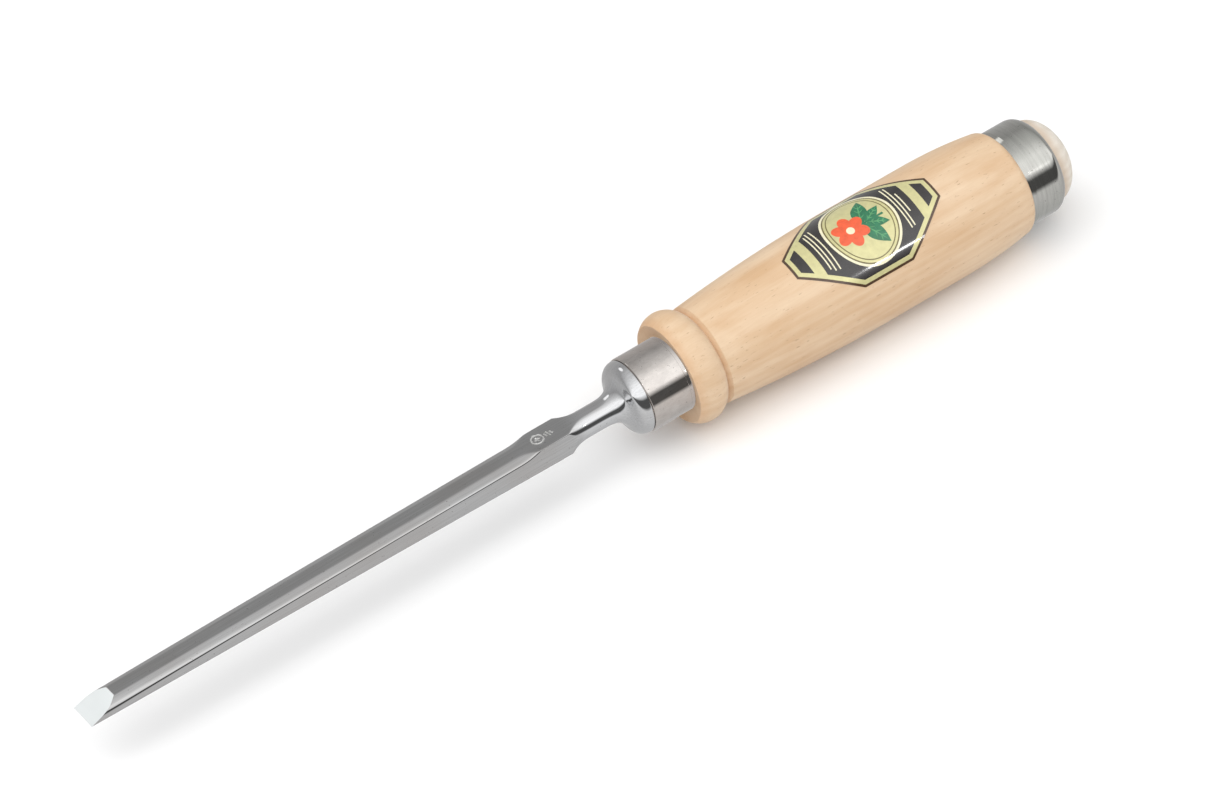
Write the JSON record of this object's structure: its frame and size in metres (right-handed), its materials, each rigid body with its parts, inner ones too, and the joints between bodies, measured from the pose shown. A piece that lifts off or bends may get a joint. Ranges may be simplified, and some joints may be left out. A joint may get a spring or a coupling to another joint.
{
  "type": "bench chisel",
  "caption": "Narrow bevel-edge chisel with a solid flat-backed blade, round neck and bolster, and a turned wooden handle with ferrule, bead and striking hoop.",
  "frame": {"origin": "on the tool axis, in the middle of the ferrule's length", "axes": "+X along the tool axis towards the striking end, so the cutting edge is at -X; +Z out of the bevelled top of the blade, so its flat back faces -Z; +Y to the left of somebody who looks along +X with the bevel up"},
  "size_m": [0.2685, 0.0294, 0.0295],
  "materials": {
    "blade_steel": "ground and polished tool steel",
    "ferrule_steel": "bright nickel-plated steel",
    "handle_wood": "pale waxed hardwood",
    "hoop_steel": "satin turned steel",
    "label_foil": "glossy black and gold printed foil"
  },
  "bodies": {
    "root": {"blade": "blade_steel", "ferrule": "ferrule_steel", "handle": "handle_wood", "striking_hoop": "hoop_steel", "label": "label_foil"}
  },
  "joints": []
}
